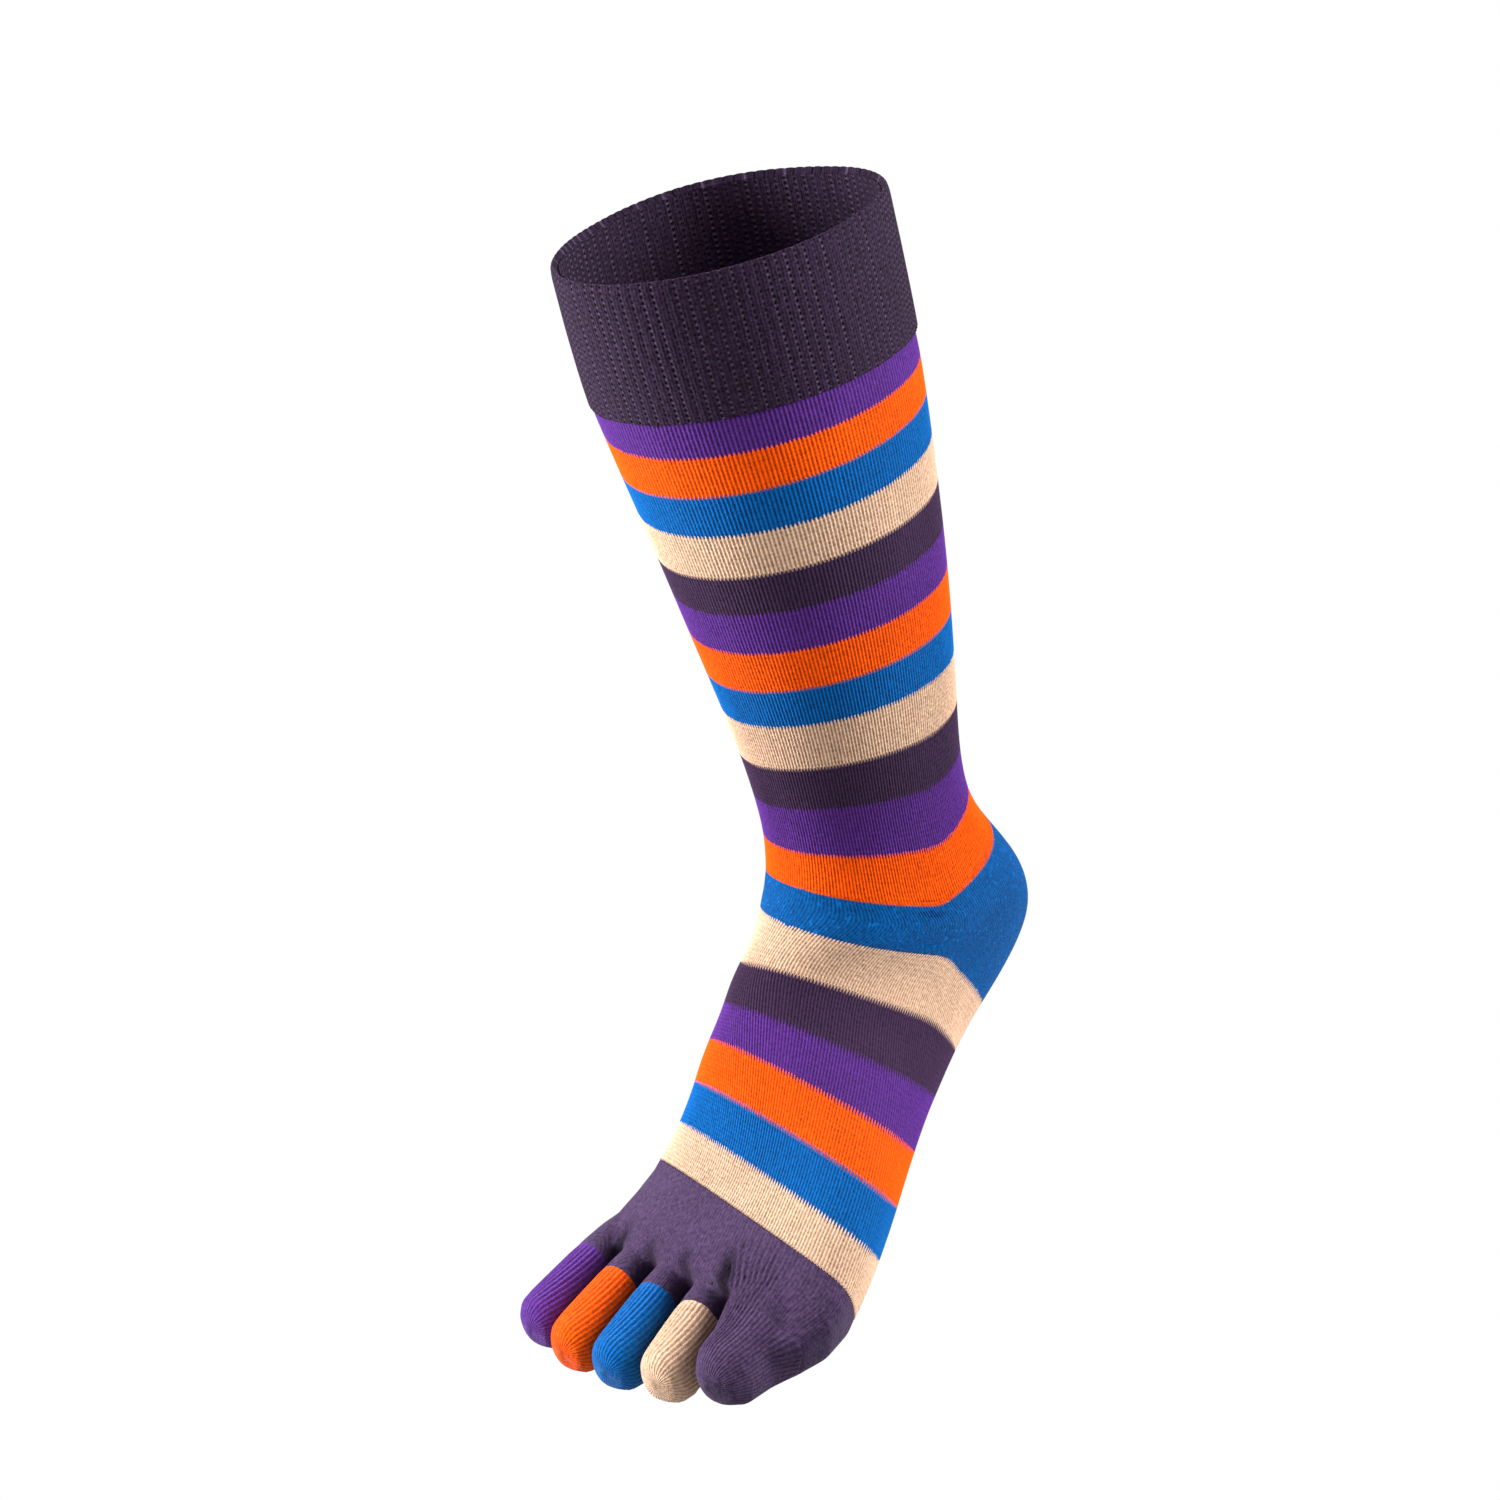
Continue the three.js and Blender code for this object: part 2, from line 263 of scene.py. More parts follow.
# The wale that each vertex lies on, which grows round the tube
def waleOf(mesh):
    corners = np.zeros(len(mesh.loops) * 2)
    mesh.uv_layers["Knit"].data.foreach_get("uv", corners)
    owners = np.zeros(len(mesh.loops), np.int32)
    mesh.loops.foreach_get("vertex_index", owners)
    wales = np.zeros(len(mesh.vertices))
    wales[owners] = corners[0::2]
    return wales


def vertexPlaces(mesh):
    spots = np.zeros(len(mesh.vertices) * 3)
    mesh.vertices.foreach_get("co", spots)
    return spots.reshape(-1, 3)


# Moves each vertex along its normal
def lift(thing, heights):
    mesh = thing.data
    normals = np.zeros(len(mesh.vertices) * 3)
    mesh.vertices.foreach_get("normal", normals)
    places = vertexPlaces(mesh).ravel() + normals * np.repeat(heights, 3)
    mesh.vertices.foreach_set("co", places)
    mesh.update()


def smoothShade(thing):
    pick(thing)
    bpy.ops.object.shade_smooth()


# body: cuff, leg, heel and foot

# y and z: the row's corner in the side view. front and back: how far each arm rises from it, in
# degrees. yaw and tilt: how far the row moves back and up towards the big toe, a share of x.
# inset: how far the row lies inside the frame's skin.
rowColumns = ("stripe", "y", "z", "front", "back", "yaw", "tilt", "inset")
cuffRows = [
    (0, 17, 278.6, 6, -6, 0, 0, 1.0),
    (0.02, 17, 278.2, 6, -6, 0, 0, 0.3),
    (0.07, 17, 276.0, 6, -6, 0, 0, -0.1),
    (0.2, 17, 270, 6, -6, 0, 0),
    (0.4, 16, 261, 6, -6, 0, 0),
    (0.6, 16, 252, 6, -6, 0, 0),
    (0.8, 15, 243, 6, -6, 0, 0),
    (0.95, 15, 237.3, 6, -6, 0, 0),
    (1, 15, 235.3, 6, -6, 0, 0),
]
bodyRows = [
    (-0.2, 15, 237.8, 6, -6, 0, 0, 1.0),
    (0, 15, 235.6, 6, -6, 0, 0, 0.6),
    (1, 14, 227.4, 4, -4, 0, -0.024),
    (2, 13, 214.2, 3, -3, 0, -0.004),
    (3, 12, 203.0, 3, -3, 0, -0.020),
    (4, 10, 189.2, 3.5, -3.5, 0, 0.004),
    (5, 9, 175.4, 5, -5, 0, -0.017),
    (6, 7, 164.0, 4, -4, 0, -0.031),
    (7, 5, 151.0, 5, -5, 0, -0.015),
    (8, 3, 137.0, 8, -7, 0, 0),
    (9, 0, 122.4, 9, -7, 0, -0.014),
    (10, -3, 104.0, 17, -4, 0, 0),
    (11, -3, 88.0, 17.8, 2.7, -0.02, -0.11),
    (12, -11.6, 75.2, 27.0, 5.9, -0.06, -0.17),
    (12.17, -11.3, 72.0, 28.0, -5, -0.06, -0.19),
    (12.33, -11.0, 69.0, 28.9, -15.3, -0.06, -0.2),
    (12.5, -10.7, 65.8, 30.0, -26.2, -0.06, -0.21),
    (12.67, -10.4, 62.6, 30.9, -37.1, -0.06, -0.22),
    (12.83, -10.1, 59.6, 31.9, -47.4, -0.06, -0.24),
    (13, -9.9, 56.4, 32.9, -58.3, -0.06, -0.25),
    (13.5, -14, 45.0, 38.4, -59.2, -0.07, -0.17),
    (14, -18.1, 33.6, 44.0, -60.1, -0.08, -0.09),
    (14.5, -31.3, 34.3, 46.5, -54.5, -0.19, -0.04),
    (15, -44.6, 35.0, 49, -49, -0.29, 0),
    (15.5, -54, 32.5, 52, -52, -0.33, 0),
    (16, -63.2, 30.0, 55.4, -55.4, -0.38, 0),
    (16.5, -71.8, 28.5, 56.6, -56.6, -0.41, 0),
    (17, -80.3, 27.0, 57.8, -57.8, -0.45, 0),
    (17.5, -88, 25.5, 58.4, -58.4, -0.47, 0),
    (18, -95.5, 24.0, 59, -59, -0.50, 0),
    (18.5, -103, 22.0, 58.2, -67, -0.54, 0.04),
    (19, -110, 20.0, 57.6, -75, -0.57, 0.09),
    (19.5, -117, 19.0, 59, -78, -0.57, 0.09),
]
bodyPiece = {"columns": 56, "wales": 224, "levels": 3, "rib": 0.14, "wall": 1.5, "lastStripe": 19}
cuffPiece = {"columns": 48, "wales": 96, "levels": 3, "rib": 0.2, "wall": 2.3, "ribCurve": 0.7,
             "ribMiddle": 0.6}
rimAngle = 70  # degrees, sharper edges than this are the cut rims of a wall


def asRows(lines):
    return [dict(zip(rowColumns, (*line, 0))) for line in lines]


def knitTube(name, lines, skin, piece):
    rows = asRows(lines)
    tube = extrudeTube(name, [drawRing(skin, row, piece["columns"]) for row in rows])
    mapKnit(tube, piece["wales"], [row["stripe"] for row in rows])
    faceOutwards(tube)
    applyModifier(tube, "SUBSURF", levels=piece["levels"], render_levels=piece["levels"])
    smoothShade(tube)
    return tube


def skinOfNodes(nodes):
    copy = copyNodes("skin_copy", nodes)
    skin = skinOf(copy)
    discard(copy)
    return skin


body = knitTube("body", bodyRows, skinOfNodes(["cuff", "leg", "heel", "foot", "forefoot"]), bodyPiece)
lift(body, bodyPiece["rib"] * mm * np.cos(2 * math.pi * waleOf(body.data)))
print("body drawn:", len(body.data.vertices), "vertices")


# Cuts the body tube at its colour borders into leg, heel and foot
def splitStripes(tube, first, last, name):
    part = tube.copy()
    part.data = tube.data.copy()
    part.name = name
    scene.collection.objects.link(part)
    clearSelection(part)
    knit = part.data.uv_layers["Knit"].data
    for face in part.data.polygons:
        middle = sum(knit[loop].uv.y for loop in face.loop_indices) / face.loop_total
        face.select = not first <= middle <= last
    bpy.ops.object.mode_set(mode="EDIT")
    bpy.ops.mesh.delete(type="FACE")
    bpy.ops.object.mode_set(mode="OBJECT")
    return part


def thicken(part, wall):
    applyModifier(part, "SOLIDIFY", thickness=wall * mm, offset=-1, use_rim=True)
    pick(part)
    bpy.ops.object.shade_smooth_by_angle(angle=math.radians(rimAngle))


leg = splitStripes(body, -1, 12, "leg_knit")
heel = splitStripes(body, 12, 13, "heel_knit")
foot = splitStripes(body, 13, bodyPiece["lastStripe"], "foot_knit")
for part in (leg, heel, foot):
    thicken(part, bodyPiece["wall"])
print("leg, heel and foot cut")

cuff = knitTube("cuff_knit", cuffRows, skinOfNodes(["cuff"]), cuffPiece)
ribs = np.abs(np.cos(math.pi * waleOf(cuff.data))) ** cuffPiece["ribCurve"] - cuffPiece["ribMiddle"]
lift(cuff, cuffPiece["rib"] * mm * ribs)
thicken(cuff, cuffPiece["wall"])
print("cuff knitted")


# forefoot and toes

# root, tip: plan places of a toe's axis. seam: where the pocket starts, a share of the length.
# axis: how high the middle lies at four places along the toe, a share of its height.
# twist: how far the ribs arc round to the tip, in turns. levels: how often it is subdivided.
toeStops = (0, 0.4, 0.68, 1)
smallToe = {"width": 14.4, "tipWidth": 14.4, "height": 16.5, "axis": (0.85, 0.84, 0.7, 0.55), "wales": 36,
            "rib": 0.15, "twist": 0.07, "levels": 1}
toePieces = {
    "big_toe": {"root": (35.9, -121.4), "tip": (27.8, -176.1), "seam": 0.63, "width": 27.6, "tipWidth": 18.2,
                "height": 26, "axis": (0.56, 0.53, 0.5, 0.46), "wales": 52, "rib": 0.28, "twist": 0.04,
                "levels": 0},
    "second_toe": smallToe | {"root": (10.7, -125.1), "tip": (7.9, -175.2), "seam": 0.54},
    "third_toe": smallToe | {"root": (-5.2, -121.4), "tip": (-10.9, -172.8), "seam": 0.5},
    "fourth_toe": smallToe | {"root": (-19.0, -114.1), "tip": (-29.5, -167.4), "seam": 0.52},
    "little_toe": smallToe | {"root": (-31.8, -104.9), "tip": (-46.6, -158.8), "seam": 0.52},
}

# The forefoot and the toes are one soft surface: the frame's solids joined, rebuilt fine and smoothed.
# The solids overlap by "overlap" before that. Its border with the foot has a top and a side slope, and
# within "blend" of it the surface runs on to the foot's tube. cutBehind: where the joined solids are
# cut first. softAhead: from there on the pressed creases are softened. fineFrom, fineAbove: how far
# behind the big toe's seam and from what height its ribs need a finer surface. fanCentre, halfWidth,
# halfHeight, middle, toesHalfHeight and toesAhead lay out the wales.
forefootPiece = {"voxel": 0.75, "smooth": 7, "smoothFactor": 0.5, "soften": 2, "wall": 1.5, "overlap": 0.5,
                 "wales": 224,
                 "seamPoint": (0, -110.0, 20.0), "topSlope": (0.513, 1, 0.634), "sideSlope": (0.545, 1, 0.268),
                 "frameSeamPoint": (0, -119.78, 35.69), "frameSeamSlope": (0.51, 1, 0.62),
                 "fanCentre": (30, 80), "halfWidth": 47.5, "halfHeight": 18, "middle": -2,
                 "toesHalfHeight": 8, "toesAhead": 45, "stripeStep": 12.3,
                 "creaseDepth": 1.1, "creaseWidth": 1.9, "creaseShadeWidth": 3.0, "blend": 6.0,
                 "cutBehind": 16, "seamReach": 4, "nodeEdge": 0.25, "softAhead": 8,
                 "fineFrom": 24, "fineAbove": 10, "sectionSteps": 721}
# Tables of two rows, a place and a strength there: the creases by the millimetres ahead of their start,
# ribs by the run along a toe, which is below 0 on the forefoot, and round the big toe by degrees
creaseStrength = ((13, 20, 34, 50), (0, 1, 1, 0.3))
smallToeRibs = ((0, 0.12, 0.75, 0.95), (0, 1, 1, 0.1))
bigToeRibs = ((-1.1, -0.5, 0.6, 0.9), (0, 1, 1, 0.1))
bigToeRound = ((-130, -90, 5, 30), (0, 1, 1, 0.1))
sideFill = ((26, -167, 2), (60, -117, 20))  # the box between the ball and the big toe's outer side


def toeAxis(toe):
    root, tip = Vector((*toe["root"], 0)) * mm, Vector((*toe["tip"], 0)) * mm
    axis = (tip - root).normalized()
    return root, axis, Vector((-axis.y, axis.x, 0)), (tip - root).length


# Moves the edge that lies on a seam, so that two neighbours overlap
def reachOver(piece, seamPoint, seamNormal, distance):
    for vertex in piece.data.vertices:
        if abs((vertex.co - seamPoint).dot(seamNormal)) < forefootPiece["nodeEdge"] * mm:
            vertex.co += seamNormal * distance


# The ball runs on into the big toe's outer side without a dent: a hull from one to the other
def fillBigToeSide():
    fill = copyNodes("side_fill", ["forefoot", "big_toe"])
    low, high = (np.array(corner) * mm for corner in sideFill)
    places = vertexPlaces(fill.data)
    clearSelection(fill, "VERT")
    fill.data.vertices.foreach_set("select", np.any((places < low) | (places > high), axis=1))
    bpy.ops.object.mode_set(mode="EDIT")
    bpy.ops.mesh.delete(type="VERT")
    bpy.ops.mesh.select_all(action="SELECT")
    bpy.ops.mesh.convex_hull()
    bpy.ops.object.mode_set(mode="OBJECT")
    return fill


def joinToForefoot():
    overlap = forefootPiece["overlap"] * mm
    parts = [fillBigToeSide(), copyNodes("foot_part", ["foot"])]
    seamNormal = Vector(forefootPiece["frameSeamSlope"]).normalized()
    reachOver(parts[1], Vector(forefootPiece["frameSeamPoint"]) * mm, seamNormal, -overlap)
    for name, toe in toePieces.items():
        part = copyNodes(name + "_part", [name])
        root, axis, _side, length = toeAxis(toe)
        reachOver(part, root + axis * length * toe["seam"], axis, -overlap)
        parts.append(part)
    whole = copyNodes("forefoot_knit", ["forefoot"])
    deselectAll()
    for part in parts:
        part.select_set(True)
    whole.select_set(True)
    bpy.context.view_layer.objects.active = whole
    bpy.ops.object.join()
    return whole


forefoot = joinToForefoot()
seamNormals = [Vector(forefootPiece[slope]).normalized() for slope in ("topSlope", "sideSlope")]
seamPoint = Vector(forefootPiece["seamPoint"]) * mm
bpy.ops.object.mode_set(mode="EDIT")
bpy.ops.mesh.select_all(action="SELECT")
bpy.ops.mesh.bisect(plane_co=seamPoint + seamNormals[0] * forefootPiece["cutBehind"] * mm,
                    plane_no=seamNormals[0], use_fill=True, clear_outer=True)
bpy.ops.object.mode_set(mode="OBJECT")
forefoot.data.remesh_voxel_size = forefootPiece["voxel"] * mm
bpy.ops.object.voxel_remesh()
applyModifier(forefoot, "SMOOTH", factor=forefootPiece["smoothFactor"], iterations=forefootPiece["smooth"])


def bisectFaces(thing, chosen, point, normal, clear=False):
    clearSelection(thing)
    thing.data.polygons.foreach_set("select", chosen)
    bpy.ops.object.mode_set(mode="EDIT")
    bpy.ops.mesh.bisect(plane_co=point, plane_no=normal, clear_outer=clear)
    bpy.ops.object.mode_set(mode="OBJECT")


def faceCentres(thing):
    centres = np.zeros(len(thing.data.polygons) * 3)
    thing.data.polygons.foreach_get("center", centres)
    return centres.reshape(-1, 3)


for seamNormal in seamNormals:  # the border bends at the side of the ball
    bisectFaces(forefoot, np.ones(len(forefoot.data.polygons), bool), seamPoint, seamNormal, clear=True)

# Of the two shells that are left, the one that holds the sole's lowest point is the outside
lowest = int(vertexPlaces(forefoot.data)[:, 2].argmin())
clearSelection(forefoot, "VERT")
forefoot.data.vertices[lowest].select = True
bpy.ops.object.mode_set(mode="EDIT")
bpy.ops.mesh.select_linked()
bpy.ops.mesh.select_all(action="INVERT")
bpy.ops.mesh.delete(type="VERT")
bpy.ops.object.mode_set(mode="OBJECT")


# The upright plane in the crease between two toes: a point and the way to the bigger toe
def creasePlane(bigger, smaller):
    root, tip = ((Vector(bigger[end]) * smaller[width] + Vector(smaller[end]) * bigger[width])
                 / (bigger[width] + smaller[width]) for end, width in (("root", "width"), ("tip", "tipWidth")))
    along = (tip - root).normalized()
    return Vector((*root, 0)) * mm, Vector((-along.y, along.x, 0))


toeNames = list(toePieces)
creases = [creasePlane(toePieces[a], toePieces[b]) for a, b in zip(toeNames, toeNames[1:])]


# How far places lie past a toe's seam, and whether they lie between the creases on its two sides
def besideToe(places, number):
    root, axis, _side, length = toeAxis(toePieces[toeNames[number]])
    past = (places - np.array(root)) @ np.array(axis) - toePieces[toeNames[number]]["seam"] * length
    inside = np.ones(len(places), bool)
    for crease, way in ((number - 1, -1), (number, 1)):
        if 0 <= crease < len(creases):
            point, normal = creases[crease]
            inside &= way * ((places - np.array(point)) @ np.array(normal)) > 0
    return past, inside


# How much each place is pressed into a crease, from 0 to 1, most where the toes part
def creasePress(places, width):
    press = np.zeros(len(places))
    for point, normal in creases:
        off = (places - np.array(point)) @ np.array(normal) / (width * mm)
        strength = np.interp((point.y - places[:, 1]) / mm, *creaseStrength)
        press = np.maximum(press, strength * np.exp(-off ** 2))
    return press


# How far places lie ahead of the forefoot's border
def aheadOfSeam(places):
    return np.min([-(places - np.array(seamPoint)) @ np.array(normal) for normal in seamNormals], axis=0)


# Meets the foot's tube at the border
footSkin = skinOf(body)
places = vertexPlaces(forefoot.data)
ahead = aheadOfSeam(places) / (forefootPiece["blend"] * mm)
for i in np.nonzero(ahead < 1)[0]:
    nearest = footSkin.find_nearest(Vector(places[i]))[0]
    share = 1 - max(ahead[i], 0)
    places[i] += (np.array(nearest) - places[i]) * share ** 2 * (3 - 2 * share)
forefoot.data.vertices.foreach_set("co", places.ravel())
forefoot.data.update()

press = creasePress(vertexPlaces(forefoot.data), forefootPiece["creaseWidth"])
lift(forefoot, -forefootPiece["creaseDepth"] * mm * press)
clearSelection(forefoot, "VERT")
soft = aheadOfSeam(vertexPlaces(forefoot.data)) > forefootPiece["softAhead"] * mm
forefoot.data.vertices.foreach_set("select", soft)
bpy.ops.object.mode_set(mode="EDIT")
bpy.ops.mesh.vertices_smooth(factor=forefootPiece["smoothFactor"], repeat=forefootPiece["soften"])
bpy.ops.object.mode_set(mode="OBJECT")

# The big toe's ribs begin on the forefoot, which is finer there
past, inside = besideToe(faceCentres(forefoot), 0)
high = faceCentres(forefoot)[:, 2] > forefootPiece["fineAbove"] * mm
clearSelection(forefoot)
forefoot.data.polygons.foreach_set("select", inside & high & (past > -forefootPiece["fineFrom"] * mm))
bpy.ops.object.mode_set(mode="EDIT")
bpy.ops.mesh.subdivide(number_cuts=1)
bpy.ops.object.mode_set(mode="OBJECT")

for point, normal in creases:
    bisectFaces(forefoot, faceCentres(forefoot)[:, 1] < point.y, point, normal)
toes = {}
for number, name in enumerate(toeNames):
    root, axis, _side, length = toeAxis(toePieces[name])
    past, inside = besideToe(faceCentres(forefoot), number)
    near = np.abs(past) < forefootPiece["seamReach"] * mm
    bisectFaces(forefoot, inside & near, root + axis * length * toePieces[name]["seam"], axis)
for number, name in enumerate(toeNames):
    past, inside = besideToe(faceCentres(forefoot), number)
    clearSelection(forefoot)
    forefoot.data.polygons.foreach_set("select", inside & (past > 0))
    bpy.ops.object.mode_set(mode="EDIT")
    bpy.ops.mesh.separate(type="SELECTED")
    bpy.ops.object.mode_set(mode="OBJECT")
    toes[name] = next(thing for thing in bpy.context.selected_objects if thing != forefoot)
    toes[name].name = name + "_knit"


# Writes the map "Knit" from each vertex's wale and run; a face that crosses the join keeps to one side
def writeKnit(mesh, wale, run, wales):
    owners = np.zeros(len(mesh.loops), np.int32)
    mesh.loops.foreach_get("vertex_index", owners)
    starts = np.zeros(len(mesh.polygons), np.int32)
    totals = np.zeros(len(mesh.polygons), np.int32)
    mesh.polygons.foreach_get("loop_start", starts)
    mesh.polygons.foreach_get("loop_total", totals)
    corners = wale[owners]
    first = np.repeat(corners[starts], totals)
    corners = corners + np.round((first - corners) / wales) * wales
    uv = mesh.uv_layers.new(name="Knit")
    uv.data.foreach_set("uv", np.stack([corners, run[owners]], 1).ravel())


# Wales fan out from behind the ankle over an oval section that gets lower towards the toes
def mapForefoot(thing, piece):
    x, y, z = vertexPlaces(thing.data).T / mm
    start = piece["seamPoint"]
    ahead = aheadOfSeam(vertexPlaces(thing.data)) / mm
    fanX, fanY = piece["fanCentre"]
    reach = (fanY - start[1]) / (fanY - y)
    across = fanX + (x - fanX) * reach - piece["middle"]
    share = np.clip(ahead / piece["toesAhead"], 0, 1)
    half = piece["halfHeight"] + (piece["toesHalfHeight"] - piece["halfHeight"]) * share
    angle = np.arctan2(across / piece["halfWidth"], (z - half) / half)
    turns = np.linspace(-math.pi, math.pi, piece["sectionSteps"])
    step = np.hypot(piece["halfWidth"] * np.cos(turns), piece["halfHeight"] * np.sin(turns))
    run = np.concatenate([[0], np.cumsum((step[1:] + step[:-1]) / 2)])
    wale = np.interp(angle, turns, run / run[-1]) * piece["wales"]
    writeKnit(thing.data, wale, ahead / piece["stripeStep"], piece["wales"])


# Wales run round a toe's own axis, and its run goes from 0 at the seam to 1 at the tip
def toeWales(places, toe):
    root, axis, side, length = toeAxis(toe)
    away = places - np.array(root)
    along = away @ np.array(axis) / length
    height = np.interp(along, toeStops, toe["axis"]) * toe["height"] * mm
    angle = np.arctan2(away @ np.array(side), away[:, 2] - height)
    run = (along - toe["seam"]) / (1 - toe["seam"])
    turns = angle / (2 * math.pi) + toe["twist"] * np.maximum(run, 0) ** 2
    return turns * toe["wales"], run, np.degrees(angle)


# Presses the toe's ribs out. Those of the big toe begin on the forefoot, and its outer side is smooth
def ribToe(thing, name, beside):
    toe = toePieces[name]
    wale, run, degrees = toeWales(vertexPlaces(thing.data), toe)
    if name == "big_toe":
        fade = np.interp(run, *bigToeRibs) * np.interp(degrees, *bigToeRound)
    else:
        fade = np.interp(run, *smallToeRibs)
    lift(thing, toe["rib"] * mm * fade * beside * np.cos(2 * math.pi * wale))


# Stores in the attribute "crease" how much painted shade each vertex gets in the creases between the toes
def shadeCreases(thing):
    press = creasePress(vertexPlaces(thing.data), forefootPiece["creaseShadeWidth"])
    thing.data.attributes.new("crease", "FLOAT", "POINT")
    thing.data.attributes["crease"].data.foreach_set("value", press)


def knitToe(thing, name, toe):
    if toe["levels"]:
        applyModifier(thing, "SUBSURF", levels=toe["levels"], render_levels=toe["levels"])
    smoothShade(thing)
    wale, run, _degrees = toeWales(vertexPlaces(thing.data), toe)
    writeKnit(thing.data, wale, run, toe["wales"])
    ribToe(thing, name, 1)
    shadeCreases(thing)
    thicken(thing, forefootPiece["wall"])


mapForefoot(forefoot, forefootPiece)
smoothShade(forefoot)
_past, inside = besideToe(vertexPlaces(forefoot.data), 0)
ribToe(forefoot, "big_toe", inside)
shadeCreases(forefoot)
thicken(forefoot, forefootPiece["wall"])
for name, toe in toePieces.items():
    knitToe(toes[name], name, toe)
print("forefoot and toes rebuilt:", [len(thing.data.polygons) for thing in (forefoot, *toes.values())])


# Cotton and how it is drawn

def linearColour(code):
    parts = [int(code[i:i + 2], 16) / 255 for i in (0, 2, 4)]
    return [c / 12.92 if c <= 0.04045 else ((c + 0.055) / 1.055) ** 2.4 for c in parts] + [1]


yarn = {"plum": "3b2743", "heather": "503c5e", "purple": "562b80", "orange": "ff5800", "blue": "005ba4",
        "beige": "d8b295"}
bodyColours = ["plum"] + ["purple", "orange", "blue", "beige", "plum"] * 4 + ["plum"]


def addNode(tree, kind, settings=None, **links):
    node = tree.nodes.new("ShaderNode" + kind)
    for key, value in (settings or {}).items():
        if isinstance(key, str) and hasattr(node, key):
            setattr(node, key, value)
        else:
            node.inputs[key].default_value = value
    for key, source in links.items():
        socket = int(key[1:]) if key[0] == "_" else key.replace("_", " ")
        tree.links.new(source, node.inputs[socket])
    return node


def newMaterial(name):
    material = bpy.data.materials.new(name)
    material.use_nodes = True
    tree = material.node_tree
    return material, tree, tree.nodes["Principled BSDF"]
